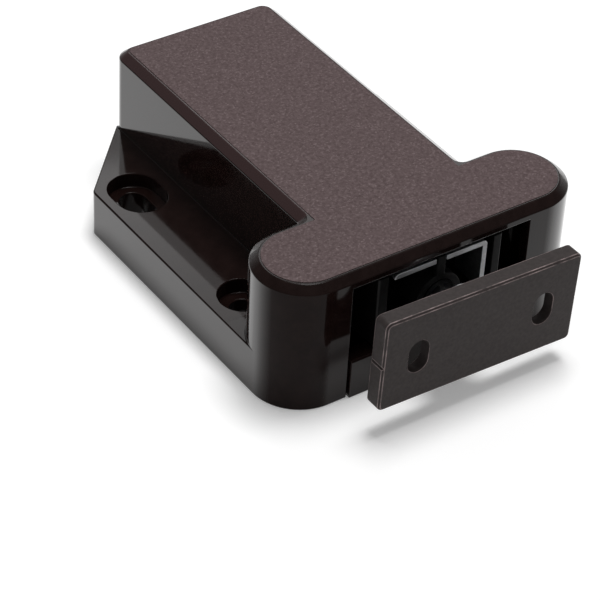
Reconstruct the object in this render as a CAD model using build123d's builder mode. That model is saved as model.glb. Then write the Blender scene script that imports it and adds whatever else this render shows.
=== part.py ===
"""Push-to-open catch with a sprung magnetic plunger and its strike plate.

A T-shaped moulded housing is screwed flat inside a cabinet. A carriage slides in it and
carries a magnet nose that holds the strike plate of the door. A heart cam under the
carriage and a swinging wire follower hold the plunger in, and a push lets it out again.

Frame: the origin is the middle of the head's front edge on the mounting plane.
+X is to the right seen from the door, +Y runs into the cabinet, +Z leaves the panel.
All sizes are in millimetres. The plunger is modelled fully out.
"""

import os
from math import cos, pi, sin

from build123d import *

# ---------------------------------------------------------------- housing: driving sizes
head_width = 60.0
head_depth = 17.4
body_length = 75.1
body_height = 24.75
stem_width = 32.6
stem_corner_radius = 2.0
wall = 2.1
roof_thickness = 2.45
edge_chamfer_in = 1.5
edge_chamfer_down = 1.2
panel_step = 0.12
panel_rim = 0.35
junction_radius = 0.6
least_corner_radius = 0.5
select_gap = 0.01

mouth_overhang = 1.3
side_rib_width = 1.5
roof_rib_width = 1.2
side_rib_rise = 1.2
side_rib_height = 2.0

flange_height = 8.8
flange_slant_length = 16.1
flange_tip_inset = 0.6
flange_corner_radius = 2.0
flange_edge = 0.3

# ---------------------------------------------------------------- mounting screw holes
fixing_edge_distance = 6.5
front_hole_setback = 4.4
front_hole_diameter = 4.6
front_counterbore = 8.6
rear_slot_inset = 4.2
rear_slot_width = 5.0
rear_slot_travel = 3.0
rear_counterbore = 9.2
rear_counterbore_travel = 2.4
counterbore_depth = 2.8
core_roof = 2.6
core_outer_wall = 1.7
core_inner_wall = 2.4
core_front_wall = 3.8
core_rear_wall = 2.3
core_rib = 1.6

# ---------------------------------------------------------------- base cover
cover_thickness = 2.4
cover_gap = 0.15
lip_height = 7.6
lip_proud = 0.4
lip_gap = 0.3
lip_edge = 0.4
lip_overlap = 0.6
blind_floor = 1.0
rail_inner_x = 8.2
rail_width = 2.0
rail_front_y = 4.0
rail_spare = 5.5

# ---------------------------------------------------------------- small screws
cover_screw_side_inset = 3.2
cover_screw_rear_inset = 6.0
cover_boss_diameter = 6.0
screw_shank = 2.2
screw_head = 4.4
screw_head_height = 1.3
cover_screw_length = 9.0
screw_clearance = 0.1
screw_recess_depth = 0.7
screw_recess_width = 0.7
recess_share = 0.55

# ---------------------------------------------------------------- carriage
running_gap = 0.3
carriage_lip_gap = 0.4
fit_gap = 0.05
carriage_front_y = 0.3
carriage_rear_y = 34.0
carriage_roof_gap = 0.7
plunger_travel = 6.5
cheek_width = 1.9
head_pocket_depth = 7.0
head_floor_thickness = 2.4
rib_width = 1.7
rib_depth = 1.2
rod_boss_wall = 1.2
lug_gap = 0.4
lug_length = 4.0
lug_height = 4.0
lug_floor = 1.0
lightening_length = 10.0
lightening_width = 6.4
lightening_depth = 2.4
lightening_corner = 1.0
head_open_over = 1.0
carriage_edge = 0.35

# ---------------------------------------------------------------- steel channel in the head
channel_side_gap = 1.25
channel_sheet = 0.9
channel_rear_gap = 0.4
channel_leg_gap = 1.4
channel_bend = 0.9
channel_top_gap = 0.2
channel_setback = 4.2
channel_notch_gap = 0.2

# ---------------------------------------------------------------- plunger nose
rod_diameter = 6.4
rod_grip = 5.3
rod_pin_diameter = 2.0
rod_pin_inset = 2.8
cup_wall = 1.1
cup_floor = 1.0
magnet_diameter = 8.8
magnet_thickness = 2.6
magnet_bore_gap = 0.45
nose_screw_head = 5.2
nose_screw_shank = 2.5
nose_screw_length = 9.0
nose_screw_sink = 0.2
nose_recess_share = 0.5
nose_screw_end_gap = 0.5
rod_edge = 0.5
rod_pin_sink = 0.3
cup_edge = 0.6
magnet_sink_margin = 0.3

# ---------------------------------------------------------------- strike plate
strike_width = 39.0
strike_height = 17.4
strike_thickness = 3.4
strike_corner = 1.1
strike_edge = 0.35
strike_back_y = -7.4
strike_offset_x = 0.3
strike_turn = 1.8
strike_slot_spacing = 25.0
strike_slot_width = 4.0
strike_slot_length = 6.2
strike_head_room = 7.4
strike_head_depth = 1.2
strike_mark_depth = 0.35

# ---------------------------------------------------------------- heart cam and follower
wire = 1.4
follower_arm = 22.0
follower_pivot_y = 44.0
follower_arm_drop = 1.8
follower_bend = 1.5
bend_runs = 3
pin_offset = 2.65
cam_thickness = 2.0
cam_track_depth = 1.6
cam_clearance = 0.3
cam_side_border = 2.35
cam_border = 3.3
cam_corner = 1.0
cam_screw_inset = 1.8
cam_screw_shank = 1.6
cam_screw_head = 3.0
cam_screw_head_height = 0.9
cam_screw_seat_depth = 1.0
cam_screw_grip = 1.8
cam_pilot_depth = 2.0
track_corner = 0.9
island_pass_gap = 0.55
island_tip_gap = 0.4
island_length = 4.2
island_notch = 1.2
island_shoulder_share = 0.55
island_lobe_chamfer = 0.5
pivot_boss_diameter = 5.0

# ---------------------------------------------------------------- leaf spring
leaf_thickness = 0.3
leaf_width = 5.0
leaf_pad_width = 8.4
leaf_length = 20.4
leaf_past_pin = 5.0
leaf_pad_length = 5.5
leaf_screw_inset = 3.4
leaf_gap = 0.2
leaf_corner = 1.0
leaf_post_margin = 0.5
leaf_post_corner = 0.8
leaf_screw_length = 3.2

# ---------------------------------------------------------------- drive spring and its rod
spring_rod_diameter = 5.0
spring_wire = 1.2
spring_rod_gap = 1.0
spring_turns = 9
runs_per_turn = 12
wire_sides = 8
washer_thickness = 0.8
washer_margin = 0.6
spring_seat_depth = 6.0
rear_boss_length = 3.6
spring_rod_spare = 1.5
spring_rod_edge = 0.5

# ---------------------------------------------------------------- rubber stops
buffer_length = 2.8
buffer_pad_length = 3.0
buffer_round = 0.4
buffer_seat_margin = 0.6

# ---------------------------------------------------------------- worked-out places
lobe_radius = head_depth / 2
lobe_x = head_width / 2 - lobe_radius
mouth_width = stem_width + 2 * mouth_overhang
roof_z = body_height - roof_thickness
stem_inner_half = stem_width / 2 - wall
rear_wall_y = body_length - wall
flange_end_y = body_length - flange_slant_length
fixing_x = head_width / 2 - fixing_edge_distance
front_hole_y = head_depth + front_hole_setback
rear_slot_y = flange_end_y - rear_slot_inset
ledge_z = flange_height - counterbore_depth
cover_screw_x = stem_inner_half - cover_screw_side_inset
cover_screw_y = rear_wall_y - cover_screw_rear_inset

carriage_half = stem_inner_half - side_rib_width - running_gap
carriage_width = 2 * carriage_half
carriage_floor_z = lip_height + carriage_lip_gap
carriage_top_z = roof_z - carriage_roof_gap
carriage_mid_z = (carriage_floor_z + carriage_top_z) / 2
head_pocket_width = carriage_width - 2 * cheek_width
head_pocket_floor_z = carriage_floor_z + head_floor_thickness
lug_front_y = carriage_rear_y - lug_length
lug_z = carriage_floor_z + lug_floor
side_rib_x = stem_inner_half - side_rib_width / 2
rail_rear_y = carriage_rear_y + plunger_travel + rail_spare

channel_width = head_pocket_width - 2 * channel_side_gap
channel_top_z = carriage_top_z - channel_top_gap
channel_drop = channel_top_z - head_pocket_floor_z - channel_leg_gap
channel_depth = head_pocket_depth - channel_rear_gap

nose_z = head_pocket_floor_z + rod_diameter / 2
nose_front_y = strike_back_y
rod_boss_diameter = rod_diameter + 2 * rod_boss_wall
rod_rear_y = carriage_front_y + head_pocket_depth + rod_grip
rod_pin_y = rod_rear_y - rod_pin_inset
cup_diameter = magnet_diameter + 2 * cup_wall
cup_height = magnet_thickness + cup_floor
cup_rear_y = nose_front_y + cup_height
magnet_bore = nose_screw_shank + 2 * magnet_bore_gap

pin_radius = wire / 2
arm_reach = (follower_arm**2 - pin_offset**2) ** 0.5
pin_y_centre = follower_pivot_y - follower_arm
pin_y_side = follower_pivot_y - arm_reach
follower_arm_z = carriage_floor_z - follower_arm_drop
track_rear_y = pin_y_side + pin_radius + cam_clearance
track_front_y = pin_y_centre - plunger_travel - pin_radius - cam_clearance
track_half_width = pin_offset + pin_radius + cam_clearance
island_half_width = track_half_width - wire - island_pass_gap
cam_half_width = track_half_width + cam_side_border
cam_screw_x = cam_half_width - cam_screw_inset
leaf_rear_y = pin_y_centre + leaf_past_pin
leaf_front_y = leaf_rear_y - leaf_length
leaf_screw_y = leaf_front_y + leaf_screw_inset

spring_radius = spring_rod_diameter / 2 + spring_rod_gap + spring_wire / 2
washer_diameter = 2 * spring_radius + spring_wire + 2 * washer_margin
rear_boss_diameter = spring_rod_diameter + 2 * wall
rear_boss_y = rear_wall_y - rear_boss_length
rear_washer_y = rear_boss_y - washer_thickness
spring_seat_y = carriage_rear_y - spring_seat_depth
buffer_rear_y = lug_front_y - running_gap
buffer_front_y = buffer_rear_y - buffer_length
front_holes = [(side * fixing_x, front_hole_y) for side in (-1, 1)]
rear_slots = [(side * fixing_x, rear_slot_y) for side in (-1, 1)]
cover_screw_points = [(side * lobe_x, lobe_radius) for side in (-1, 1)]
cover_screw_points += [(side * cover_screw_x, cover_screw_y) for side in (-1, 1)]


def tee_plan(inset):
    """The T-shaped plan of the body with every side moved in by inset."""
    with BuildSketch() as plan:
        with Locations((0, lobe_radius)):
            SlotOverall(head_width - 2 * inset, head_depth - 2 * inset)
        stem_end = body_length - inset
        with Locations((0, (lobe_radius + stem_end) / 2)):
            Rectangle(stem_width - 2 * inset, stem_end - lobe_radius)
        rear_corners = plan.vertices().group_by(Axis.Y)[-1]
        fillet(rear_corners, max(stem_corner_radius - inset / 2, least_corner_radius))
    return plan.sketch


def cross_screw(head_plane, head_diameter, head_height, shank_diameter, length):
    """A pan head screw: its seat lies in head_plane, its shank runs against the plane's normal."""
    with BuildPart(mode=Mode.PRIVATE) as screw:
        with BuildSketch(head_plane):
            Circle(head_diameter / 2)
        extrude(amount=head_height)
        with BuildSketch(head_plane.offset(head_height - screw_recess_depth)):
            Rectangle(head_diameter * recess_share, screw_recess_width)
            Rectangle(screw_recess_width, head_diameter * recess_share)
        extrude(amount=screw_recess_depth, mode=Mode.SUBTRACT)
        with BuildSketch(head_plane):
            Circle(shank_diameter / 2)
        extrude(amount=-length)
    return screw.part


def wire_bend(corner, before, after):
    """Points of a right-angled bend of the follower's wire at corner, in short straight runs."""
    centre = corner - before * follower_bend + after * follower_bend
    turns = [run * pi / 2 / bend_runs for run in range(bend_runs + 1)]
    return [centre + (before * sin(turn) - after * cos(turn)) * follower_bend for turn in turns]


outer_plan = tee_plan(0)
panel_plan = tee_plan(edge_chamfer_in + panel_rim)
cavity_plan = tee_plan(wall)
cover_plan = tee_plan(wall + cover_gap)

# ================================================================ housing
with BuildPart() as flanges:
    # one slab for both flanges, cut off on a slant behind the rear screws
    with BuildSketch() as flange_plan:
        slant_end_x = stem_width / 2 - flange_tip_inset
        slant_end_y = body_length - flange_tip_inset
        Polygon(
            (-head_width / 2, lobe_radius),
            (head_width / 2, lobe_radius),
            (head_width / 2, flange_end_y),
            (slant_end_x, slant_end_y),
            (-slant_end_x, slant_end_y),
            (-head_width / 2, flange_end_y),
            align=None,
        )
        outer_corners = flange_plan.vertices().filter_by_position(
            Axis.Y, flange_end_y - select_gap, flange_end_y + select_gap
        )
        fillet(outer_corners, flange_corner_radius)
    extrude(amount=flange_height)
    fillet(flanges.edges().group_by(Axis.Z)[-1], flange_edge)

with BuildPart() as housing:
    # T-shaped block with its bevelled top edge and the raised textured panel
    with BuildSketch():
        add(outer_plan)
    extrude(amount=body_height - panel_step)
    inner_corners = housing.edges().filter_by(Axis.Z).filter_by_position(
        Axis.Y, head_depth - select_gap, head_depth + select_gap
    )
    stem_corners = inner_corners.filter_by_position(
        Axis.X, -stem_width / 2 - select_gap, stem_width / 2 + select_gap
    )
    fillet(stem_corners, junction_radius)
    top = housing.faces().sort_by(Axis.Z)[-1]
    chamfer(top.edges(), length=edge_chamfer_in, length2=edge_chamfer_down, reference=top)
    with BuildSketch(Plane.XY.offset(body_height - panel_step)):
        add(panel_plan)
    extrude(amount=panel_step)

    # side flanges
    add(flanges.part)

    # hollow for the mechanism, open below, and the mouth in front
    with BuildSketch():
        add(cavity_plan)
    extrude(amount=roof_z, mode=Mode.SUBTRACT)
    with BuildSketch():
        with Locations((0, wall / 2)):
            Rectangle(mouth_width, 2 * wall)
    extrude(amount=roof_z, mode=Mode.SUBTRACT)

    # bosses for the cover screws, up to the roof
    with BuildSketch(Plane.XY.offset(cover_thickness)):
        with Locations(cover_screw_points):
            Circle(cover_boss_diameter / 2)
    extrude(amount=roof_z - cover_thickness)
    with BuildSketch(Plane.XY.offset(cover_thickness)):
        with Locations(cover_screw_points):
            Circle(screw_shank / 2 + fit_gap)
    extrude(amount=cover_screw_length, mode=Mode.SUBTRACT)

    # guide ribs: two on the roof, one on each side wall
    with BuildSketch(Plane.XY.offset(carriage_top_z + running_gap)):
        rib_length = rear_boss_y - 2 * wall
        with Locations((0, 2 * wall + rib_length / 2)):
            with GridLocations(2 * (carriage_half - cheek_width), 1, 2, 1):
                Rectangle(roof_rib_width, rib_length)
    extrude(until=Until.NEXT)
    with BuildSketch(Plane.XY.offset(carriage_mid_z + side_rib_rise)):
        side_rib_length = cover_screw_y - cover_boss_diameter / 2 - head_depth
        with Locations((0, head_depth + side_rib_length / 2)):
            with GridLocations(2 * side_rib_x, 1, 2, 1):
                Rectangle(side_rib_width, side_rib_length)
    extrude(amount=side_rib_height)

    # seats for the rubber stops
    with BuildSketch(Plane.XY.offset(lug_z - buffer_seat_margin)):
        with Locations((0, buffer_front_y - buffer_pad_length / 2)):
            with GridLocations(2 * side_rib_x, 1, 2, 1):
                Rectangle(side_rib_width, buffer_pad_length)
    extrude(amount=lug_height + 2 * buffer_seat_margin)

    # socket for the spring rod on the rear wall
    with BuildSketch(Plane.XZ.offset(-rear_boss_y)):
        with Locations((0, carriage_mid_z)):
            Circle(rear_boss_diameter / 2)
            Circle(spring_rod_diameter / 2 + fit_gap, mode=Mode.SUBTRACT)
    extrude(amount=-rear_boss_length)

    # counterbored fixing holes in the flanges: round in front, slotted behind
    with BuildSketch(Plane.XY.offset(ledge_z)):
        with Locations(front_holes):
            Circle(front_counterbore / 2)
        with Locations(rear_slots):
            SlotOverall(rear_counterbore + rear_counterbore_travel, rear_counterbore, rotation=90)
    extrude(amount=flange_height - ledge_z, mode=Mode.SUBTRACT)
    with BuildSketch():
        with Locations(front_holes):
            Circle(front_hole_diameter / 2)
        with Locations(rear_slots):
            SlotOverall(rear_slot_width + rear_slot_travel, rear_slot_width, rotation=90)
    extrude(amount=ledge_z, mode=Mode.SUBTRACT)

    # cored pockets under each flange, between its two screws
    core_inner_x = stem_width / 2 + core_inner_wall
    core_outer_x = head_width / 2 - core_outer_wall
    core_front_y = front_hole_y + front_counterbore / 2 + core_front_wall
    core_rear_y = rear_slot_y - (rear_counterbore + rear_counterbore_travel) / 2 - core_rear_wall
    core_width = (core_outer_x - core_inner_x - core_rib) / 2
    core_length = (core_rear_y - core_front_y - core_rib) / 2
    with BuildSketch():
        for side in (-1, 1):
            with Locations((side * (core_inner_x + core_outer_x) / 2, (core_front_y + core_rear_y) / 2)):
                with GridLocations(core_width + core_rib, core_length + core_rib, 2, 2):
                    Rectangle(core_width, core_length)
    extrude(amount=flange_height - core_roof, mode=Mode.SUBTRACT)
housing.part.label = "housing"

# ================================================================ base cover
with BuildPart() as base_cover:
    with BuildSketch():
        add(cover_plan)
    extrude(amount=cover_thickness)

    # front lip that closes the mouth from below
    lip_depth = lip_proud + wall + cover_gap + lip_overlap
    with BuildSketch():
        with Locations((0, lip_depth / 2 - lip_proud)):
            Rectangle(mouth_width - 2 * lip_gap, lip_depth)
    extrude(amount=lip_height)
    lip_front_top = base_cover.edges().filter_by(Axis.X).group_by(Axis.Z)[-1].sort_by(Axis.Y)[0]
    fillet(lip_front_top, lip_edge)

    # rails under the carriage
    with BuildSketch(Plane.XY.offset(cover_thickness)):
        rail_length = rail_rear_y - rail_front_y
        with Locations((0, rail_front_y + rail_length / 2)):
            with GridLocations(2 * rail_inner_x + rail_width, 1, 2, 1):
                Rectangle(rail_width, rail_length)
    extrude(amount=carriage_floor_z - running_gap - cover_thickness)

    # pivot boss of the follower and post of the leaf spring
    pivot_boss_top = follower_arm_z - follower_bend
    leaf_z = follower_arm_z - wire / 2 - leaf_gap - leaf_thickness
    with BuildSketch(Plane.XY.offset(cover_thickness)):
        with Locations((0, follower_pivot_y)):
            Circle(pivot_boss_diameter / 2)
    extrude(amount=pivot_boss_top - cover_thickness)
    with BuildSketch(Plane.XY.offset(cover_thickness)):
        with Locations((0, leaf_screw_y)):
            post_length = 2 * (leaf_screw_y - leaf_front_y)
            RectangleRounded(leaf_width + 2 * leaf_post_margin, post_length, leaf_post_corner)
    extrude(amount=leaf_z - cover_thickness)
    with Locations((0, follower_pivot_y, pivot_boss_top)):
        Hole(wire / 2 + fit_gap, depth=pivot_boss_top - blind_floor)
    with Locations((0, leaf_screw_y, leaf_z)):
        Hole(screw_shank / 2 + fit_gap, depth=leaf_z - blind_floor)

    # counterbored holes for the cover screws
    with BuildSketch():
        with Locations(cover_screw_points):
            Circle(screw_head / 2 + screw_clearance)
    extrude(amount=screw_head_height + screw_clearance, mode=Mode.SUBTRACT)
    with BuildSketch():
        with Locations(cover_screw_points):
            Circle(screw_shank / 2 + screw_clearance)
    extrude(amount=cover_thickness, mode=Mode.SUBTRACT)
base_cover.part.label = "base_cover"

# ================================================================ cover screws
cover_screw_seat = Plane(
    origin=(0, 0, screw_head_height + screw_clearance), x_dir=(1, 0, 0), z_dir=(0, 0, -1)
)
cover_screw = cross_screw(
    cover_screw_seat, screw_head, screw_head_height, screw_shank, cover_screw_length
)
with BuildPart() as cover_screws:
    with Locations(cover_screw_points):
        add(cover_screw)
cover_screws.part.label = "cover_screws"

# ================================================================ carriage
with BuildPart() as carriage:
    carriage_length = carriage_rear_y - carriage_front_y
    with BuildSketch(Plane.XY.offset(carriage_floor_z)):
        with Locations((0, carriage_front_y + carriage_length / 2)):
            Rectangle(carriage_width, carriage_length)
    extrude(amount=carriage_top_z - carriage_floor_z)
    chamfer(carriage.edges().filter_by(Axis.Z), carriage_edge)

    # stop lugs at the rear
    with BuildSketch(Plane.XY.offset(lug_z)):
        with Locations((0, lug_front_y + lug_length / 2)):
            Rectangle(2 * (stem_inner_half - lug_gap), lug_length)
    extrude(amount=lug_height)

    # open head between the two cheeks, with the rod boss and the centre rib left standing
    with BuildSketch(Plane.XZ.offset(-carriage_front_y)):
        pocket_top_z = carriage_top_z + head_open_over
        with Locations((0, (head_pocket_floor_z + pocket_top_z) / 2)):
            Rectangle(head_pocket_width, pocket_top_z - head_pocket_floor_z)
        with Locations((0, nose_z)):
            Circle(rod_boss_diameter / 2, mode=Mode.SUBTRACT)
    extrude(amount=-head_pocket_depth, mode=Mode.SUBTRACT)
    with BuildSketch(Plane.XZ.offset(-carriage_front_y)):
        with Locations((0, (nose_z + carriage_top_z) / 2)):
            Rectangle(rib_width, carriage_top_z - nose_z)
    extrude(amount=-rib_depth)

    # bore for the plunger rod and its cross pin
    with BuildSketch(Plane.XZ.offset(-carriage_front_y)):
        with Locations((0, nose_z)):
            Circle(rod_diameter / 2 + fit_gap)
    extrude(amount=carriage_front_y - rod_rear_y - fit_gap, mode=Mode.SUBTRACT)
    pin_floor_z = nose_z - rod_diameter / 2
    with Locations((0, rod_pin_y, carriage_top_z)):
        Hole(rod_pin_diameter / 2 + fit_gap, depth=carriage_top_z - pin_floor_z)

    # bore for the spring rod and seat for the spring
    with BuildSketch(Plane.XZ.offset(-carriage_rear_y)):
        with Locations((0, carriage_mid_z)):
            Circle(spring_rod_diameter / 2 + fit_gap)
    extrude(amount=carriage_rear_y - rod_rear_y - wall, mode=Mode.SUBTRACT)
    with BuildSketch(Plane.XZ.offset(-carriage_rear_y)):
        with Locations((0, carriage_mid_z)):
            Circle(washer_diameter / 2 + screw_clearance)
    extrude(amount=spring_seat_depth, mode=Mode.SUBTRACT)

    # lightening pockets in the top
    with BuildSketch(Plane.XY.offset(carriage_top_z)):
        with Locations((0, (rod_rear_y + spring_seat_y) / 2)):
            with GridLocations(lightening_width + core_rib, 1, 2, 1):
                RectangleRounded(lightening_width, lightening_length, lightening_corner)
    extrude(amount=-lightening_depth, mode=Mode.SUBTRACT)

    # seat for the cam plate in the underside
    cam_mid_y = (track_front_y + track_rear_y) / 2
    cam_length = track_rear_y - track_front_y + 2 * cam_border
    with BuildSketch(Plane.XY.offset(carriage_floor_z)):
        with Locations((0, cam_mid_y)):
            seat_width = 2 * (cam_half_width + fit_gap)
            RectangleRounded(seat_width, cam_length + 2 * fit_gap, cam_corner)
    extrude(amount=cam_thickness, mode=Mode.SUBTRACT)
    cam_screw_points = [
        (column * cam_screw_x, cam_mid_y + row * (cam_length - cam_border) / 2)
        for column in (-1, 1)
        for row in (-1, 1)
    ]
    with BuildSketch(Plane.XY.offset(carriage_floor_z)):
        with Locations(cam_screw_points):
            Circle(cam_screw_shank / 2 + fit_gap)
    extrude(amount=cam_thickness + cam_pilot_depth, mode=Mode.SUBTRACT)
carriage.part.label = "carriage"

# ================================================================ folded steel channel in the head
with BuildPart() as head_channel:
    channel_front_y = carriage_front_y
    with BuildSketch(Plane.XZ.offset(-channel_front_y)) as channel_profile:
        with Locations((0, channel_top_z - channel_drop / 2)):
            Rectangle(channel_width, channel_drop)
        fillet(channel_profile.vertices().group_by(Axis.Y)[-1], channel_bend)
        with Locations((0, channel_top_z - channel_sheet - channel_drop / 2)):
            Rectangle(channel_width - 2 * channel_sheet, channel_drop, mode=Mode.SUBTRACT)
    extrude(amount=-channel_depth)
    # notch for the centre rib of the carriage
    with BuildSketch(Plane.XY.offset(channel_top_z)):
        with Locations((0, channel_front_y + rib_depth / 2)):
            Rectangle(rib_width + 2 * channel_notch_gap, rib_depth + 2 * channel_notch_gap)
    extrude(amount=-2 * channel_sheet, mode=Mode.SUBTRACT)
    # one leg is set back so that the channel goes in one way round only
    with BuildSketch(Plane.YZ.offset(-channel_width / 2)):
        leg_height = channel_drop - channel_sheet
        leg_mid_z = channel_top_z - channel_drop + leg_height / 2
        with Locations((channel_front_y + channel_setback / 2, leg_mid_z)):
            Rectangle(channel_setback, leg_height)
    extrude(amount=2 * channel_sheet, mode=Mode.SUBTRACT)
head_channel.part.label = "head_channel"

# ================================================================ plunger nose
with BuildPart() as plunger_rod:
    with BuildSketch(Plane.XZ.offset(-cup_rear_y)):
        with Locations((0, nose_z)):
            Circle(rod_diameter / 2)
    extrude(amount=-(rod_rear_y - cup_rear_y))
    chamfer(plunger_rod.edges().filter_by(GeomType.CIRCLE).sort_by(Axis.Y)[-1], rod_edge)
    with BuildSketch(Plane.XZ.offset(-cup_rear_y)):
        with Locations((0, nose_z)):
            Circle(nose_screw_shank / 2 + fit_gap)
    extrude(amount=-(nose_screw_length - cup_height + nose_screw_end_gap), mode=Mode.SUBTRACT)
    with Locations((0, rod_pin_y, nose_z + rod_diameter)):
        Hole(rod_pin_diameter / 2 + fit_gap, depth=rod_diameter + rod_diameter / 2)
plunger_rod.part.label = "plunger_rod"

with BuildPart() as rod_pin:
    with BuildSketch(Plane.XY.offset(pin_floor_z)):
        with Locations((0, rod_pin_y)):
            Circle(rod_pin_diameter / 2)
    extrude(amount=carriage_top_z - pin_floor_z - rod_pin_sink)
rod_pin.part.label = "rod_pin"

with BuildPart() as magnet_cup:
    with BuildSketch(Plane.XZ.offset(-nose_front_y)):
        with Locations((0, nose_z)):
            Circle(cup_diameter / 2)
    extrude(amount=-cup_height)
    chamfer(magnet_cup.edges().filter_by(GeomType.CIRCLE).sort_by(Axis.Y)[-1], cup_edge)
    with BuildSketch(Plane.XZ.offset(-nose_front_y)):
        with Locations((0, nose_z)):
            Circle(magnet_diameter / 2 + fit_gap)
    extrude(amount=-magnet_thickness, mode=Mode.SUBTRACT)
    with BuildSketch(Plane.XZ.offset(-nose_front_y)):
        with Locations((0, nose_z)):
            Circle(nose_screw_shank / 2 + screw_clearance)
    extrude(amount=-cup_height, mode=Mode.SUBTRACT)
magnet_cup.part.label = "magnet_cup"

screw_head_depth = (nose_screw_head - nose_screw_shank) / 2
nose_axis_front = Plane(origin=(0, nose_front_y, nose_z), x_dir=(1, 0, 0), z_dir=(0, -1, 0))
with BuildPart() as ring_magnet:
    with BuildSketch(nose_axis_front):
        Circle(magnet_diameter / 2)
    extrude(amount=-magnet_thickness)
    with Locations(nose_axis_front.location):
        CounterSinkHole(magnet_bore / 2, nose_screw_head / 2 + magnet_sink_margin, depth=magnet_thickness)
ring_magnet.part.label = "ring_magnet"

with BuildPart() as magnet_screw:
    sunk_plane = nose_axis_front.offset(-nose_screw_sink)
    with BuildSketch(sunk_plane):
        Circle(nose_screw_head / 2)
    with BuildSketch(sunk_plane.offset(-screw_head_depth)):
        Circle(nose_screw_shank / 2)
    loft()
    with BuildSketch(sunk_plane):
        Circle(nose_screw_shank / 2)
    extrude(amount=-nose_screw_length)
    with BuildSketch(sunk_plane):
        Rectangle(nose_screw_head * nose_recess_share, screw_recess_width)
        Rectangle(screw_recess_width, nose_screw_head * nose_recess_share)
    extrude(amount=-screw_recess_depth, mode=Mode.SUBTRACT)
magnet_screw.part.label = "magnet_screw"

# ================================================================ strike plate
strike_plane = Plane(
    origin=(strike_offset_x, strike_back_y - strike_thickness, nose_z),
    x_dir=Vector(1, 0, 0).rotate(Axis.Y, strike_turn),
    z_dir=(0, -1, 0),
)
with BuildPart() as strike_plate:
    with BuildSketch(strike_plane):
        RectangleRounded(strike_width, strike_height, strike_corner)
    extrude(amount=-strike_thickness)
    rims = strike_plate.faces().filter_by(Axis.Y)
    chamfer(rims.edges(), strike_edge)
    with BuildSketch(strike_plane):
        with GridLocations(strike_slot_spacing, 1, 2, 1):
            SlotOverall(strike_slot_length, strike_slot_width, rotation=90)
    extrude(amount=-strike_thickness, mode=Mode.SUBTRACT)
    # wider seats for the screw heads, on the side that faces the catch
    with BuildSketch(strike_plane.offset(-strike_thickness)):
        with GridLocations(strike_slot_spacing, 1, 2, 1):
            seat_length = strike_head_room + strike_slot_length - strike_slot_width
            SlotOverall(seat_length, strike_head_room, rotation=90)
    extrude(amount=strike_head_depth, mode=Mode.SUBTRACT)
    # centre marks on the two ends
    with BuildSketch(strike_plane):
        for side in (-1, 1):
            end_x = side * strike_width / 2
            Polygon(
                (end_x - side * strike_mark_depth, 0),
                (end_x + side * strike_mark_depth, 2 * strike_mark_depth),
                (end_x + side * strike_mark_depth, -2 * strike_mark_depth),
                align=None,
            )
    extrude(amount=-strike_thickness, mode=Mode.SUBTRACT)
strike_plate.part.label = "strike_plate"

# ================================================================ heart cam
with BuildPart() as cam_plate:
    with BuildSketch(Plane.XY.offset(carriage_floor_z)):
        with Locations((0, cam_mid_y)):
            RectangleRounded(2 * cam_half_width, cam_length, cam_corner)
    extrude(amount=cam_thickness)
    track_length = track_rear_y - track_front_y
    island_tip_y = pin_y_centre - pin_radius - island_tip_gap
    shoulder_y = island_tip_y - island_length * island_shoulder_share
    lobe_y = island_tip_y - island_length
    with BuildSketch(Plane.XY.offset(carriage_floor_z)):
        with Locations((0, cam_mid_y)):
            RectangleRounded(2 * track_half_width, track_length, track_corner)
        with BuildLine():
            right_side = Polyline(
                (0, island_tip_y),
                (island_half_width, shoulder_y),
                (island_half_width, lobe_y + island_lobe_chamfer),
                (island_half_width - island_lobe_chamfer, lobe_y),
                (0, lobe_y + island_notch),
            )
            mirror(right_side, about=Plane.YZ)
        make_face(mode=Mode.SUBTRACT)
    extrude(amount=cam_track_depth, mode=Mode.SUBTRACT)
    with BuildSketch(Plane.XY.offset(carriage_floor_z)):
        with Locations(cam_screw_points):
            Circle(cam_screw_shank / 2 + screw_clearance)
    extrude(amount=cam_thickness, mode=Mode.SUBTRACT)
    with BuildSketch(Plane.XY.offset(carriage_floor_z)):
        with Locations(cam_screw_points):
            Circle(cam_screw_head / 2 + screw_clearance)
    extrude(amount=cam_screw_seat_depth, mode=Mode.SUBTRACT)
cam_plate.part.label = "cam_plate"

cam_screw_seat = Plane(
    origin=(0, 0, carriage_floor_z + cam_screw_seat_depth), x_dir=(1, 0, 0), z_dir=(0, 0, -1)
)
cam_screw = cross_screw(
    cam_screw_seat,
    cam_screw_head,
    cam_screw_head_height,
    cam_screw_shank,
    cam_thickness - cam_screw_seat_depth + cam_screw_grip,
)
with BuildPart() as cam_screws:
    with Locations(cam_screw_points):
        add(cam_screw)
cam_screws.part.label = "cam_screws"

# ================================================================ wire follower
pin_x = -pin_offset
follower_foot_z = blind_floor + running_gap
follower_pin_top = carriage_floor_z + cam_track_depth - cam_clearance
with BuildPart() as cam_follower:
    # a foot in the pivot boss, the arm, and the pin that stands up into the cam
    pivot_corner = Vector(0, follower_pivot_y, follower_arm_z)
    pin_corner = Vector(pin_x, pin_y_side, follower_arm_z)
    along_arm = (pin_corner - pivot_corner).normalized()
    upwards = Vector(0, 0, 1)
    with BuildLine() as wire_path:
        Polyline(
            (0, follower_pivot_y, follower_foot_z),
            *wire_bend(pivot_corner, upwards, along_arm),
            *wire_bend(pin_corner, along_arm, upwards),
            (pin_x, pin_y_side, follower_pin_top),
        )
    with BuildSketch(Plane(origin=wire_path.line @ 0, z_dir=wire_path.line % 0)):
        Circle(wire / 2)
    sweep(transition=Transition.RIGHT)
cam_follower.part.label = "cam_follower"

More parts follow.
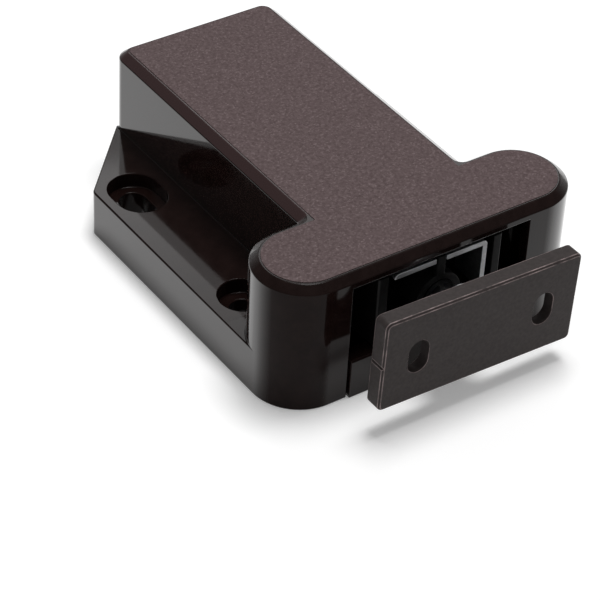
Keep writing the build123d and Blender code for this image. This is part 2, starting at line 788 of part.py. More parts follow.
# ================================================================ leaf spring and its screw
with BuildPart() as follower_spring:
    with BuildSketch(Plane.XY.offset(leaf_z)):
        with Locations((0, leaf_front_y + leaf_length / 2)):
            RectangleRounded(leaf_width, leaf_length, leaf_corner)
        with Locations((0, leaf_rear_y - leaf_pad_length / 2)):
            RectangleRounded(leaf_pad_width, leaf_pad_length, leaf_corner)
        with Locations((0, leaf_screw_y)):
            Circle(screw_shank / 2 + screw_clearance, mode=Mode.SUBTRACT)
    extrude(amount=leaf_thickness)
follower_spring.part.label = "follower_spring"

leaf_screw_seat = Plane(origin=(0, 0, leaf_z + leaf_thickness), x_dir=(1, 0, 0), z_dir=(0, 0, 1))
leaf_screw = cross_screw(
    leaf_screw_seat, screw_head, screw_head_height, screw_shank, leaf_screw_length
)
with BuildPart() as follower_spring_screw:
    with Locations((0, leaf_screw_y)):
        add(leaf_screw)
follower_spring_screw.part.label = "follower_spring_screw"

# ================================================================ drive spring, rod and washers
with BuildPart() as spring_rod:
    rod_front_y = rod_rear_y + wall + plunger_travel + spring_rod_spare
    rod_end_y = rear_wall_y - running_gap
    with BuildSketch(Plane.XZ.offset(-rod_front_y)):
        with Locations((0, carriage_mid_z)):
            Circle(spring_rod_diameter / 2)
    extrude(amount=-(rod_end_y - rod_front_y))
    chamfer(spring_rod.edges().filter_by(GeomType.CIRCLE), spring_rod_edge)
spring_rod.part.label = "spring_rod"

washers = {}
for washer_name, washer_y in (("front_spring_washer", spring_seat_y), ("rear_spring_washer", rear_washer_y)):
    with BuildPart() as washer:
        with BuildSketch(Plane.XZ.offset(-washer_y)):
            with Locations((0, carriage_mid_z)):
                Circle(washer_diameter / 2)
                Circle(spring_rod_diameter / 2 + running_gap, mode=Mode.SUBTRACT)
        extrude(amount=-washer_thickness)
    washer.part.label = washer_name
    washers[washer_name] = washer.part

with BuildPart() as drive_spring:
    # the helix is laid out in short straight runs with mitred corners, close to a round coil
    coil_start_y = spring_seat_y + washer_thickness + spring_wire / 2 + fit_gap
    coil_end_y = rear_washer_y - spring_wire / 2 - fit_gap
    coil_runs = spring_turns * runs_per_turn
    run_rise = (coil_end_y - coil_start_y) / coil_runs
    run_angle = 2 * pi / runs_per_turn
    with BuildLine() as coil:
        Polyline(
            [
                (
                    spring_radius * cos(run * run_angle),
                    coil_start_y + run * run_rise,
                    carriage_mid_z + spring_radius * sin(run * run_angle),
                )
                for run in range(coil_runs + 1)
            ]
        )
    with BuildSketch(Plane(origin=coil.line @ 0, z_dir=coil.line % 0)):
        RegularPolygon(spring_wire / 2, wire_sides)
    sweep(transition=Transition.RIGHT)
drive_spring.part.label = "drive_spring"

# ================================================================ rubber stops
buffers = {}
for side, buffer_name in ((-1, "left_stop_buffer"), (1, "right_stop_buffer")):
    with BuildPart() as stop_buffer:
        with BuildSketch(Plane.XY.offset(lug_z)):
            with Locations((side * (side_rib_x - fit_gap), buffer_front_y + buffer_length / 2)):
                Rectangle(side_rib_width - 2 * fit_gap, buffer_length)
        extrude(amount=lug_height)
        fillet(stop_buffer.faces().sort_by(Axis.Y)[-1].edges(), buffer_round)
    stop_buffer.part.label = buffer_name
    buffers[buffer_name] = stop_buffer.part

# ================================================================ export
parts = {
    "housing": housing.part,
    "base_cover": base_cover.part,
    "cover_screws": cover_screws.part,
    "carriage": carriage.part,
    "head_channel": head_channel.part,
    "plunger_rod": plunger_rod.part,
    "rod_pin": rod_pin.part,
    "magnet_cup": magnet_cup.part,
    "ring_magnet": ring_magnet.part,
    "magnet_screw": magnet_screw.part,
    "strike_plate": strike_plate.part,
    "cam_plate": cam_plate.part,
    "cam_screws": cam_screws.part,
    "cam_follower": cam_follower.part,
    "follower_spring": follower_spring.part,
    "follower_spring_screw": follower_spring_screw.part,
    "spring_rod": spring_rod.part,
    "drive_spring": drive_spring.part,
    **washers,
    **buffers,
}
os.makedirs("parts", exist_ok=True)
for name, part in parts.items():
    export_step(part, f"parts/{name}.step")
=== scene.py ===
"""Dresses the push-to-open catch: finishes, softened edges, wire coil and screw threads.

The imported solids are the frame. Moulded, folded and turned pieces are copies of them with
softened edges, small inner pieces keep their own meshes, the drive spring is a round-wire coil,
and the screws get their threads. Sizes are in millimetres and turned into metres where a mesh
or a node tree is made. Inside node trees and node groups they are in metres.
"""

import logging
import math
from dataclasses import dataclass
from enum import Enum

import bmesh
import bpy
from mathutils import Matrix, Vector


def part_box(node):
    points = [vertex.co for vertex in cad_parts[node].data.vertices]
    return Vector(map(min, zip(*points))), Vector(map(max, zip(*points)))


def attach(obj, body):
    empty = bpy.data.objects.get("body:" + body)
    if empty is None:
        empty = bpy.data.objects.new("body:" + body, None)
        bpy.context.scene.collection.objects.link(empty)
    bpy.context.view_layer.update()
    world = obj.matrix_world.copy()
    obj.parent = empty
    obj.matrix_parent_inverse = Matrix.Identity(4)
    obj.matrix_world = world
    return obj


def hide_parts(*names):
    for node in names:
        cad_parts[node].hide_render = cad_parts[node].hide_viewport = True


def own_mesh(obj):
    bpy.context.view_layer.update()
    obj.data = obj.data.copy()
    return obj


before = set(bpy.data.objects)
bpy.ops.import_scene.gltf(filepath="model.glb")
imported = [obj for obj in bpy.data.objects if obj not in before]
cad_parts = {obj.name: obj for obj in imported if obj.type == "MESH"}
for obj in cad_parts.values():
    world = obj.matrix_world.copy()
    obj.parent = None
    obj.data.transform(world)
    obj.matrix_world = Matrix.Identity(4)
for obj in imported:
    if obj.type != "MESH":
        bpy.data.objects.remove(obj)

LOG = logging.getLogger("catch")
MM = 0.001
WIRE_CREASE = 60.0
SCREW_SEGMENTS = 3
# where a Mix node keeps the sockets that are for colours
LOW_COLOUR, HIGH_COLOUR, MIXED_COLOUR = 6, 7, 2

Tree = bpy.types.NodeTree
Socket = bpy.types.NodeSocket
Colour = tuple[float, float, float]


class Slot(Enum):
    """The record's material slots."""

    HOUSING = "housing_brown"
    STRIKE = "strike_brown"
    CARRIAGE = "carriage_black"
    ZINC = "zinc_steel"
    SPRING = "spring_steel"
    MAGNET = "magnet_nickel"
    CAM = "cam_natural"
    RUBBER = "stop_rubber"


class Body(Enum):
    """The bodies that new pieces ride on."""

    HOUSING = "housing"
    PLUNGER = "plunger"


# ------------------------------------------------------------------ node helpers
def new_group(name: str, inputs: dict[str, float], outputs: list[str]) -> Tree:
    """Starts a shader node group whose inputs and outputs are all numbers.

    Args:
        name: the group's name.
        inputs: each input's name and default value.
        outputs: each output's name.

    Returns:
        The empty group with its input and output nodes.
    """
    tree = bpy.data.node_groups.new(name, "ShaderNodeTree")
    for label, value in inputs.items():
        socket = tree.interface.new_socket(label, in_out="INPUT", socket_type="NodeSocketFloat")
        socket.default_value = value
    for label in outputs:
        tree.interface.new_socket(label, in_out="OUTPUT", socket_type="NodeSocketFloat")
    tree.nodes.new("NodeGroupInput")
    tree.nodes.new("NodeGroupOutput")
    return tree


def group_ends(tree: Tree) -> tuple[bpy.types.Node, bpy.types.Node]:
    """Returns the group's input node and output node."""
    ends = {node.bl_idname: node for node in tree.nodes}
    return ends["NodeGroupInput"], ends["NodeGroupOutput"]


def noise(tree: Tree, scale: float, detail: float, rough: float) -> bpy.types.Node:
    """Adds a noise texture on Object coordinates.

    Args:
        tree: the node tree.
        scale: waves in a metre.
        detail: how many finer layers lie on the first.
        rough: how strong the finer layers are.

    Returns:
        The texture's node.
    """
    place = tree.nodes.new("ShaderNodeTexCoord")
    texture = tree.nodes.new("ShaderNodeTexNoise")
    texture.inputs["Scale"].default_value = scale
    texture.inputs["Detail"].default_value = detail
    texture.inputs["Roughness"].default_value = rough
    tree.links.new(place.outputs["Object"], texture.inputs["Vector"])
    return texture


def maths(
    tree: Tree, operation: str, first: Socket | float, second: Socket | float,
    third: Socket | float | None = None,
) -> Socket:
    """Adds a maths node.

    Args:
        tree: the node tree.
        operation: Blender's name of the operation.
        first: a socket or a number.
        second: a socket or a number.
        third: a socket or a number, for operations with three inputs.

    Returns:
        The node's output socket.
    """
    node = tree.nodes.new("ShaderNodeMath")
    node.operation = operation
    for index, value in enumerate((first, second, third)):
        if value is None:
            continue
        if isinstance(value, (int, float)):
            node.inputs[index].default_value = value
        else:
            tree.links.new(value, node.inputs[index])
    return node.outputs[0]


def ramp(tree: Tree, value: Socket, low: float, high: float, top: float = 1.0) -> Socket:
    """Maps a value to a rise from 0 to a top value, flat below and above.

    Args:
        tree: the node tree.
        value: the socket of the value.
        low: the value where the rise starts.
        high: the value where it ends.
        top: what it rises to.

    Returns:
        The socket of the rise.
    """
    node = tree.nodes.new("ShaderNodeMapRange")
    for index, number in enumerate((low, high, 0.0, top), 1):
        node.inputs[index].default_value = number
    tree.links.new(value, node.inputs[0])
    return node.outputs[0]


def part_position(tree: Tree) -> bpy.types.bpy_prop_collection:
    """Reads the position in the part's own frame.

    Args:
        tree: the node tree.

    Returns:
        The sockets X, Y and Z, by name.
    """
    place = tree.nodes.new("ShaderNodeTexCoord")
    split = tree.nodes.new("ShaderNodeSeparateXYZ")
    tree.links.new(place.outputs["Object"], split.inputs[0])
    return split.outputs


def grain_group() -> Tree:
    """Fine moulded grain: a height, a lightness mask and a few bright specks.

    Returns:
        The group with the input Cell and the outputs Height, Mottle and Speck.
    """
    tree = new_group("moulded_grain", {"Cell": 3200.0}, ["Height", "Mottle", "Speck"])
    start, end = group_ends(tree)
    fine = noise(tree, scale=1.0, detail=2.0, rough=0.6)
    tree.links.new(start.outputs["Cell"], fine.inputs["Scale"])
    cloud = noise(tree, scale=1500.0, detail=2.0, rough=0.6)
    specks = noise(tree, scale=2600.0, detail=1.0, rough=0.5)
    mottle = ramp(tree, cloud.outputs[0], low=0.3, high=0.7)
    speck = ramp(tree, specks.outputs[0], low=0.55, high=0.8)
    tree.links.new(fine.outputs[0], end.inputs["Height"])
    tree.links.new(mottle, end.inputs["Mottle"])
    tree.links.new(speck, end.inputs["Speck"])
    return tree


def smear_group() -> Tree:
    """Handling marks: a patchy dulling.

    Returns:
        The group with the output Dull.
    """
    tree = new_group("soft_smears", {}, ["Dull"])
    _, end = group_ends(tree)
    patches = noise(tree, scale=420.0, detail=4.0, rough=0.65)
    dull = ramp(tree, patches.outputs[0], low=0.35, high=0.75)
    tree.links.new(dull, end.inputs["Dull"])
    return tree


def level_group() -> Tree:
    """A mask that is 1 above a height in the part's own frame and 0 below it.

    Returns:
        The group with the inputs Level and Blur, in metres, and the output Above.
    """
    tree = new_group("above_level", {"Level": 0.0, "Blur": 0.00002}, ["Above"])
    start, end = group_ends(tree)
    rise = maths(tree, "SUBTRACT", part_position(tree)["Z"], start.outputs["Level"])
    share = maths(tree, "DIVIDE", rise, start.outputs["Blur"])
    node = tree.nodes.new("ShaderNodeClamp")
    tree.links.new(share, node.inputs[0])
    tree.links.new(node.outputs[0], end.inputs["Above"])
    return tree


class SharedEffects:
    """The node groups that the finishes share, built once."""

    def __init__(self) -> None:
        """Builds every shared group."""
        self.grain = grain_group()
        self.smears = smear_group()
        self.level = level_group()

    def place(self, tree: Tree, group: Tree, **values: float) -> bpy.types.Node:
        """Puts a group in a material.

        Args:
            tree: the material's node tree.
            group: the shared group.
            **values: values of its inputs.

        Returns:
            The group's node.
        """
        node = tree.nodes.new("ShaderNodeGroup")
        node.node_tree = group
        for label, value in values.items():
            node.inputs[label].default_value = value
        return node

    def above(self, tree: Tree, level: float) -> Socket:
        """Returns the mask socket of what lies above a level, in millimetres."""
        return self.place(tree, self.level, Level=level * MM).outputs["Above"]


# ------------------------------------------------------------------ finishes
def blend_colours(tree: Tree, mask: Socket, low: Socket | Colour, high: Socket | Colour) -> Socket:
    """Mixes two colours by a mask.

    Args:
        tree: the material's node tree.
        mask: the mask's socket.
        low: the colour where the mask is 0, a socket or three numbers.
        high: the colour where the mask is 1, a socket or three numbers.

    Returns:
        The colour socket.
    """
    node = tree.nodes.new("ShaderNodeMix")
    node.data_type = "RGBA"
    for index, colour in ((LOW_COLOUR, low), (HIGH_COLOUR, high)):
        if isinstance(colour, tuple):
            node.inputs[index].default_value = (*colour, 1.0)
        else:
            tree.links.new(colour, node.inputs[index])
    tree.links.new(mask, node.inputs[0])
    return node.outputs[MIXED_COLOUR]


def bump(
    tree: Tree, height: Socket, depth: float, strength: float, under: Socket | None = None
) -> Socket:
    """Adds a bump node.

    Args:
        tree: the material's node tree.
        height: the height socket.
        depth: the full height of the relief, in metres.
        strength: how much of it shows.
        under: a normal socket that this relief lies on.

    Returns:
        The normal socket.
    """
    node = tree.nodes.new("ShaderNodeBump")
    node.inputs["Strength"].default_value = strength
    node.inputs["Distance"].default_value = depth
    tree.links.new(height, node.inputs["Height"])
    if under is not None:
        tree.links.new(under, node.inputs["Normal"])
    return node.outputs["Normal"]


def blank_material(name: str) -> tuple[bpy.types.Material, Tree, bpy.types.Node]:
    """Makes a material.

    Args:
        name: the material's name.

    Returns:
        The material, its node tree and its Principled BSDF.
    """
    material = bpy.data.materials.new(name)
    material.use_nodes = True
    tree = material.node_tree
    shader = next(node for node in tree.nodes if node.type == "BSDF_PRINCIPLED")
    return material, tree, shader


def edge_gloss(tree: Tree, low: float, high: float, top: float) -> Socket:
    """A gloss that grows as the surface turns away from the eye.

    Args:
        tree: the material's node tree.
        low: how far the surface is turned away where the gloss starts, from 0 to 1.
        high: how far it is turned away where the gloss is full.
        top: the full coat weight.

    Returns:
        The coat weight's socket.
    """
    turned = tree.nodes.new("ShaderNodeLayerWeight")
    turned.inputs["Blend"].default_value = 0.5
    return ramp(tree, turned.outputs["Facing"], low, high, top)


@dataclass(frozen=True)
class MouldedFinish:
    """Moulded brown plastic: glossy walls, a matt grained panel on top. The panel's base colour is
    painted lighter than the walls as painted sheen; its mottle and flecks are grain.

    The levels are heights in the part's frame, in millimetres: the panel lies over panel_level,
    the bevelled rim over bevel_level, and the flange tops between flange_level and flange_top.
    The head ends at head_rear. The flange's fall and the wall's draft are slopes. The grain has
    so many cells in a metre and its depth is in millimetres.
    """

    name: str = "moulded_brown"
    wall: Colour = (0.0080, 0.0039, 0.0034)
    wall_light: Colour = (0.0130, 0.0068, 0.0060)
    # painted light: the stem's top bevel is coloured lighter than the walls for the light it catches from
    # above
    stem_bevel_painted_light: Colour = (0.036, 0.0215, 0.0215)
    # painted sheen: panel and panel_light sit well above the wall colour for the sheen of the matt grain;
    # the mottle between them and the flecks are grain
    panel: Colour = (0.072, 0.0495, 0.050)
    panel_light: Colour = (0.112, 0.081, 0.082)
    fleck: Colour = (0.165, 0.125, 0.127)
    grain_cell: float = 4200.0
    grain_depth: float = 0.05
    grain_strength: float = 0.7
    smear_dulling: float = 0.05
    wall_roughness: float = 0.065
    bevel_roughness: float = 0.26
    panel_roughness: float = 0.56
    specular: float = 0.08
    coat_roughness: float = 0.06
    gloss_from: float = 0.34
    gloss_full: float = 0.52
    gloss_weight: float = 0.92
    panel_level: float = 24.66
    bevel_level: float = 23.5
    flange_level: float = 8.76
    flange_top: float = 8.84
    head_rear: float = 17.2
    flange_fall: float = 0.06
    wall_draft: float = 0.028

    def colour(
        self, tree: Tree, grain: bpy.types.Node, smears: bpy.types.Node, on_panel: Socket, on_stem: Socket
    ) -> Socket:
        """Mixes brown walls, a stem bevel painted lighter as painted light, and a flecked panel whose
        lighter base is painted sheen.

        Args:
            tree: the material's node tree.
            grain: the grain group's node.
            smears: the smear group's node.
            on_panel: the mask socket of the panel.
            on_stem: the mask socket of the stem's bevel, where the painted light goes.

        Returns:
            The colour socket.
        """
        wall = blend_colours(tree, smears.outputs["Dull"], self.wall, self.wall_light)
        # painted light on the stem's top bevel
        wall = blend_colours(tree, on_stem, wall, self.stem_bevel_painted_light)
        # the panel's grained colour, lifted by painted sheen
        panel = blend_colours(tree, grain.outputs["Mottle"], self.panel, self.panel_light)
        flecked = blend_colours(tree, grain.outputs["Speck"], panel, self.fleck)
        return blend_colours(tree, on_panel, wall, flecked)

    def material(self, shared: SharedEffects) -> bpy.types.Material:
        """Builds the material.

        Args:
            shared: the shared effects.

        Returns:
            The material.
        """
        material, tree, shader = blank_material(self.name)
        grain = shared.place(tree, shared.grain, Cell=self.grain_cell)
        smears = shared.place(tree, shared.smears)
        on_panel = shared.above(tree, self.panel_level)
        on_bevel = shared.above(tree, self.bevel_level)
        # mask of the stem's top bevel, which gets the painted light
        on_stem = maths(tree, "MULTIPLY", on_bevel, self.behind_head(tree))
        colour = self.colour(tree, grain, smears, on_panel, on_stem)
        tree.links.new(colour, shader.inputs["Base Color"])

        dull = smears.outputs["Dull"]
        dulled = maths(tree, "MULTIPLY_ADD", dull, self.smear_dulling, self.wall_roughness)
        to_bevel = self.bevel_roughness - self.wall_roughness
        to_panel = self.panel_roughness - self.bevel_roughness
        bevelled = maths(tree, "MULTIPLY_ADD", on_bevel, to_bevel, dulled)
        matt = maths(tree, "MULTIPLY_ADD", on_panel, to_panel, bevelled)
        tree.links.new(matt, shader.inputs["Roughness"])
        shader.inputs["Specular IOR Level"].default_value = self.specular
        shader.inputs["Coat Roughness"].default_value = self.coat_roughness
        off_panel = maths(tree, "SUBTRACT", 1.0, on_panel)
        gloss = edge_gloss(tree, self.gloss_from, self.gloss_full, self.gloss_weight)
        tree.links.new(maths(tree, "MULTIPLY", gloss, off_panel), shader.inputs["Coat Weight"])

        tooth = maths(tree, "MULTIPLY", grain.outputs["Height"], on_panel)
        grained = bump(tree, tooth, self.grain_depth * MM, self.grain_strength)
        # the fall is a height in metres already, so it is taken in full
        fallen = bump(tree, self.fall(tree, shared), depth=1.0, strength=1.0, under=grained)
        tree.links.new(fallen, shader.inputs["Normal"])
        return material

    def fall(self, tree: Tree, shared: SharedEffects) -> Socket:
        """Height of the moulding's draft behind the head.

        Args:
            tree: the material's node tree.
            shared: the shared effects.

        Returns:
            The height socket: the flange tops fall away to the outside, the walls over them lean in.
        """
        from_flange = shared.above(tree, self.flange_level)
        over_flange = shared.above(tree, self.flange_top)
        on_flange = maths(tree, "SUBTRACT", from_flange, over_flange)
        place = part_position(tree)
        from_middle = maths(tree, "ABSOLUTE", place["X"], 0.0)
        outwards = maths(tree, "MULTIPLY", from_middle, -self.flange_fall)
        upwards = maths(tree, "MULTIPLY", place["Z"], -self.wall_draft)
        on_tops = maths(tree, "MULTIPLY", outwards, on_flange)
        on_walls = maths(tree, "MULTIPLY", upwards, over_flange)
        both = maths(tree, "ADD", on_tops, on_walls)
        return maths(tree, "MULTIPLY", both, self.behind_head(tree))

    def behind_head(self, tree: Tree) -> Socket:
        """Returns the mask of what lies behind the head."""
        return maths(tree, "GREATER_THAN", part_position(tree)["Y"], self.head_rear * MM)


@dataclass(frozen=True)
class PlainFinish:
    """One colour with a light grain: plastics, rubber, coated or plated metal.

    The grain has so many cells in a metre and its depth is in millimetres. A patchy finish
    changes between its two colours in larger patches.
    """

    name: str
    dark: Colour
    light: Colour
    roughness: float
    metallic: float = 0.0
    grain_cell: float = 2200.0
    grain_depth: float = 0.03
    grain_strength: float = 0.3
    roughness_spread: float = 0.1
    specular: float = 0.5
    patchy: bool = False

    def material(self, shared: SharedEffects) -> bpy.types.Material:
        """Builds the material.

        Args:
            shared: the shared effects.

        Returns:
            The material.
        """
        material, tree, shader = blank_material(self.name)
        grain = shared.place(tree, shared.grain, Cell=self.grain_cell)
        smears = shared.place(tree, shared.smears)
        mask = smears.outputs["Dull"] if self.patchy else grain.outputs["Mottle"]
        colour = blend_colours(tree, mask, self.dark, self.light)
        tree.links.new(colour, shader.inputs["Base Color"])
        dull = smears.outputs["Dull"]
        rough = maths(tree, "MULTIPLY_ADD", dull, self.roughness_spread, self.roughness)
        tree.links.new(rough, shader.inputs["Roughness"])
        shader.inputs["Metallic"].default_value = self.metallic
        shader.inputs["Specular IOR Level"].default_value = self.specular
        relief = bump(tree, grain.outputs["Height"], self.grain_depth * MM, self.grain_strength)
        tree.links.new(relief, shader.inputs["Normal"])
        return material


STRIKE_COAT = PlainFinish(
    "strike_coat", dark=(0.030, 0.0245, 0.0235), light=(0.042, 0.034, 0.033), roughness=0.42,
    grain_cell=1700.0, grain_strength=0.4, specular=0.12,
)
# painted edge highlight: light patches on the strike plate's bevels stand in for the light its edges
# catch
PAINTED_EDGE_HIGHLIGHT = PlainFinish(
    "painted_edge_highlight", dark=(0.034, 0.027, 0.026), light=(0.32, 0.245, 0.24), roughness=0.35,
    specular=0.3, patchy=True,
)
BLACK_ACETAL = PlainFinish(
    "black_acetal", dark=(0.0035, 0.0033, 0.0033), light=(0.0055, 0.005, 0.005), roughness=0.34,
    specular=0.12,
)
NATURAL_ACETAL = PlainFinish(
    "natural_acetal", dark=(0.62, 0.58, 0.5), light=(0.7, 0.66, 0.58), roughness=0.42
)
BRIGHT_ZINC = PlainFinish(
    "bright_zinc", dark=(0.62, 0.63, 0.64), light=(0.74, 0.74, 0.75), roughness=0.34, metallic=1.0,
    grain_cell=1600.0, grain_strength=0.06,
)
POLISHED_STEEL = PlainFinish(
    "polished_steel", dark=(0.3, 0.3, 0.3), light=(0.36, 0.36, 0.36), roughness=0.1, metallic=1.0,
    grain_strength=0.03,
)
DRAWN_WIRE = PlainFinish(
    "drawn_wire", dark=(0.34, 0.34, 0.35), light=(0.42, 0.42, 0.43), roughness=0.3, metallic=1.0
)
MAGNET_PLATING = PlainFinish(
    "magnet_plating", dark=(0.5, 0.47, 0.43), light=(0.58, 0.55, 0.5), roughness=0.18, metallic=1.0
)
STOP_RUBBER = PlainFinish(
    "stop_rubber", dark=(0.012, 0.012, 0.012), light=(0.02, 0.02, 0.02), roughness=0.7,
    grain_depth=0.06,
)


class Palette:
    """One material for each of the record's slots."""

    def __init__(self) -> None:
        """Builds the shared effects and every material."""
        shared = SharedEffects()
        finishes = {
            Slot.HOUSING: MouldedFinish(),
            Slot.STRIKE: STRIKE_COAT,
            Slot.CARRIAGE: BLACK_ACETAL,
            Slot.ZINC: BRIGHT_ZINC,
            Slot.SPRING: DRAWN_WIRE,
            Slot.MAGNET: MAGNET_PLATING,
            Slot.CAM: NATURAL_ACETAL,
            Slot.RUBBER: STOP_RUBBER,
        }
        self.materials = {slot: finish.material(shared) for slot, finish in finishes.items()}
        # the painted edge highlight for the strike plate's bevels
        self.painted_edge_highlight = PAINTED_EDGE_HIGHLIGHT.material(shared)
        self.polished_steel = POLISHED_STEEL.material(shared)

    def dress(self, piece: bpy.types.Object, slot: Slot) -> None:
        """Gives a piece the material of a slot."""
        piece.data.materials.clear()
        piece.data.materials.append(self.materials[slot])


# ------------------------------------------------------------------ mesh helpers
def link(name: str, mesh: bpy.types.Mesh) -> bpy.types.Object:
    """Makes an object of a mesh at the origin.

    Args:
        name: the object's name.
        mesh: its mesh.

    Returns:
        The object.
    """
    piece = bpy.data.objects.new(name, mesh)
    bpy.context.scene.collection.objects.link(piece)
    return piece


def baked(piece: bpy.types.Object, name: str) -> bpy.types.Object:
    """Turns a piece with modifiers into a plain mesh object.

    Args:
        piece: the object with its modifiers; it is removed.
        name: the name of the plain object.

    Returns:
        The plain object.
    """
    graph = bpy.context.evaluated_depsgraph_get()
    mesh = bpy.data.meshes.new_from_object(piece.evaluated_get(graph))
    bpy.data.objects.remove(piece)
    mesh.name = name
    return link(name, mesh)


@dataclass
class Softened:
    """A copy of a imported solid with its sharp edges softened.

    An edge counts as sharp above the angle. Its bevel is narrower where an edge that leaves it is
    short: it takes at most room_share of that one's length. Two edges whose directions have a
    cosine of in_line or more run on in one line. Lengths are in millimetres, angles in degrees.
    """

    node: str
    slot: Slot
    body: Body
    edge: float = 0.12
    segments: int = 2
    angle: float = 32.0
    edge_highlight: bool = False
    weld: float = 0.0005
    flat_angle: float = 0.3
    in_line: float = 0.9
    room_share: float = 0.42

    def weigh_edges(self, work: bmesh.types.BMesh) -> None:
        """Gives every sharp edge its bevel weight, a small one where there is little room.

        Args:
            work: the copy's mesh.
        """
        weight = work.edges.layers.float.new("bevel_weight_edge")
        for edge in work.edges:
            if len(edge.link_faces) != 2 or edge.calc_face_angle(0.0) < math.radians(self.angle):
                continue
            line = (edge.verts[1].co - edge.verts[0].co).normalized()
            share = 1.0
            for other in {near for vertex in edge.verts for near in vertex.link_edges} - {edge}:
                run = other.verts[1].co - other.verts[0].co
                if abs(run.normalized().dot(line)) < self.in_line:
                    share = min(share, self.room_share * run.length / (self.edge * MM))
            edge[weight] = share

    def reshape(self, work: bmesh.types.BMesh) -> None:
        """Changes the copy before its edges are softened; a plain piece stays as it is."""

    def build(self, palette: Palette) -> bpy.types.Object:
        """Builds, dresses and places the piece.

        Args:
            palette: the materials.

        Returns:
            The piece.
        """
        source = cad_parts[self.node]
        mesh = bpy.data.meshes.new(self.node + "_soft")
        work = bmesh.new()
        work.from_mesh(source.data)
        bmesh.ops.remove_doubles(work, verts=work.verts, dist=self.weld * MM)
        flat = math.radians(self.flat_angle)
        bmesh.ops.dissolve_limit(work, angle_limit=flat, verts=work.verts, edges=work.edges)
        self.reshape(work)
        self.weigh_edges(work)
        work.to_mesh(mesh)
        work.free()
        mesh.polygons.foreach_set("use_smooth", [True] * len(mesh.polygons))
        mesh.set_sharp_from_angle(angle=math.radians(self.angle))
        raw = link(self.node + "_raw", mesh)
        bevel = raw.modifiers.new("edges", "BEVEL")
        bevel.width = self.edge * MM
        bevel.segments = self.segments
        bevel.limit_method = "WEIGHT"
        bevel.use_clamp_overlap = False
        flat_faces = raw.modifiers.new("flat_faces", "WEIGHTED_NORMAL")
        flat_faces.mode = "FACE_AREA"
        flat_faces.weight = 100
        flat_faces.keep_sharp = True
        palette.dress(raw, self.slot)
        # the bevels get the painted edge highlight material
        if self.edge_highlight:
            mesh.materials.append(palette.painted_edge_highlight)
            bevel.material = 1
        piece = baked(raw, self.node + "_soft")
        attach(piece, self.body.value)
        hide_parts(self.node)
        LOG.info("%s: %d faces", piece.name, len(piece.data.polygons))
        return piece


def dress_node(palette: Palette, node: str, slot: Slot) -> None:
    """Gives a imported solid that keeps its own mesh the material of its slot."""
    palette.dress(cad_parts[node], slot)
    LOG.info("%s: finish %s", node, slot.value)


# ------------------------------------------------------------------ windings
class WindingTree:
    """Geometry Nodes: a round wire wound on a spiral, set at every point of a mesh."""

    def __init__(self) -> None:
        """Builds the tree, which each winding then uses with its own inputs."""
        self.tree = bpy.data.node_groups.new("winding", "GeometryNodeTree")
        face = self.tree.interface
        face.new_socket("Points", in_out="INPUT", socket_type="NodeSocketGeometry")
        for label in ("Turns", "Radius", "Length", "Wire"):
            face.new_socket(label, in_out="INPUT", socket_type="NodeSocketFloat")
        for label in ("Steps", "Sides"):
            face.new_socket(label, in_out="INPUT", socket_type="NodeSocketInt")
        face.new_socket("Tilt", in_out="INPUT", socket_type="NodeSocketVector")
        face.new_socket("Finish", in_out="INPUT", socket_type="NodeSocketMaterial")
        face.new_socket("Winding", in_out="OUTPUT", socket_type="NodeSocketGeometry")
        self.sockets = {item.name: item.identifier for item in face.items_tree}
        self.wire_it()

    def wire_it(self) -> None:
        """Adds the nodes: spiral, round section, one copy at each point, finish."""
        nodes, links = self.tree.nodes, self.tree.links
        start, end = nodes.new("NodeGroupInput"), nodes.new("NodeGroupOutput")
        spiral = nodes.new("GeometryNodeCurveSpiral")
        section = nodes.new("GeometryNodeCurvePrimitiveCircle")
        tube = nodes.new("GeometryNodeCurveToMesh")
        copies = nodes.new("GeometryNodeInstanceOnPoints")
        real = nodes.new("GeometryNodeRealizeInstances")
        finish = nodes.new("GeometryNodeSetMaterial")
        for label, socket in (("Steps", "Resolution"), ("Turns", "Rotations"), ("Length", "Height")):
            links.new(start.outputs[label], spiral.inputs[socket])
        for socket in ("Start Radius", "End Radius"):
            links.new(start.outputs["Radius"], spiral.inputs[socket])
        links.new(start.outputs["Sides"], section.inputs["Resolution"])
        links.new(start.outputs["Wire"], section.inputs["Radius"])
        links.new(spiral.outputs["Curve"], tube.inputs["Curve"])
        links.new(section.outputs["Curve"], tube.inputs["Profile Curve"])
        tube.inputs["Fill Caps"].default_value = True
        links.new(start.outputs["Points"], copies.inputs["Points"])
        links.new(tube.outputs["Mesh"], copies.inputs["Instance"])
        links.new(start.outputs["Tilt"], copies.inputs["Rotation"])
        links.new(copies.outputs["Instances"], real.inputs["Geometry"])
        links.new(real.outputs["Geometry"], finish.inputs["Geometry"])
        links.new(start.outputs["Finish"], finish.inputs["Material"])
        links.new(finish.outputs["Geometry"], end.inputs["Winding"])

    def wind(self, name: str, points: list[Vector], **values: object) -> bpy.types.Object:
        """Winds a wire at each point.

        Args:
            name: the piece's name.
            points: where each winding starts, in metres.
            **values: the tree's named inputs, lengths in metres.

        Returns:
            The plain mesh object.
        """
        mesh = bpy.data.meshes.new(name + "_points")
        mesh.from_pydata(points, [], [])
        raw = link(name + "_points", mesh)
        modifier = raw.modifiers.new("winding", "NODES")
        modifier.node_group = self.tree
        for label, value in values.items():
            modifier[self.sockets[label]] = value
        piece = baked(raw, name)
        piece.data.polygons.foreach_set("use_smooth", [True] * len(piece.data.polygons))
        piece.data.set_sharp_from_angle(angle=math.radians(WIRE_CREASE))
        LOG.info("%s: %d faces", name, len(piece.data.polygons))
        return piece


class Axis(Enum):
    """Which way a winding runs, as the turn that brings +Z there."""

    UP = (0.0, 0.0, 0.0)
    BACK = (-math.pi / 2, 0.0, 0.0)


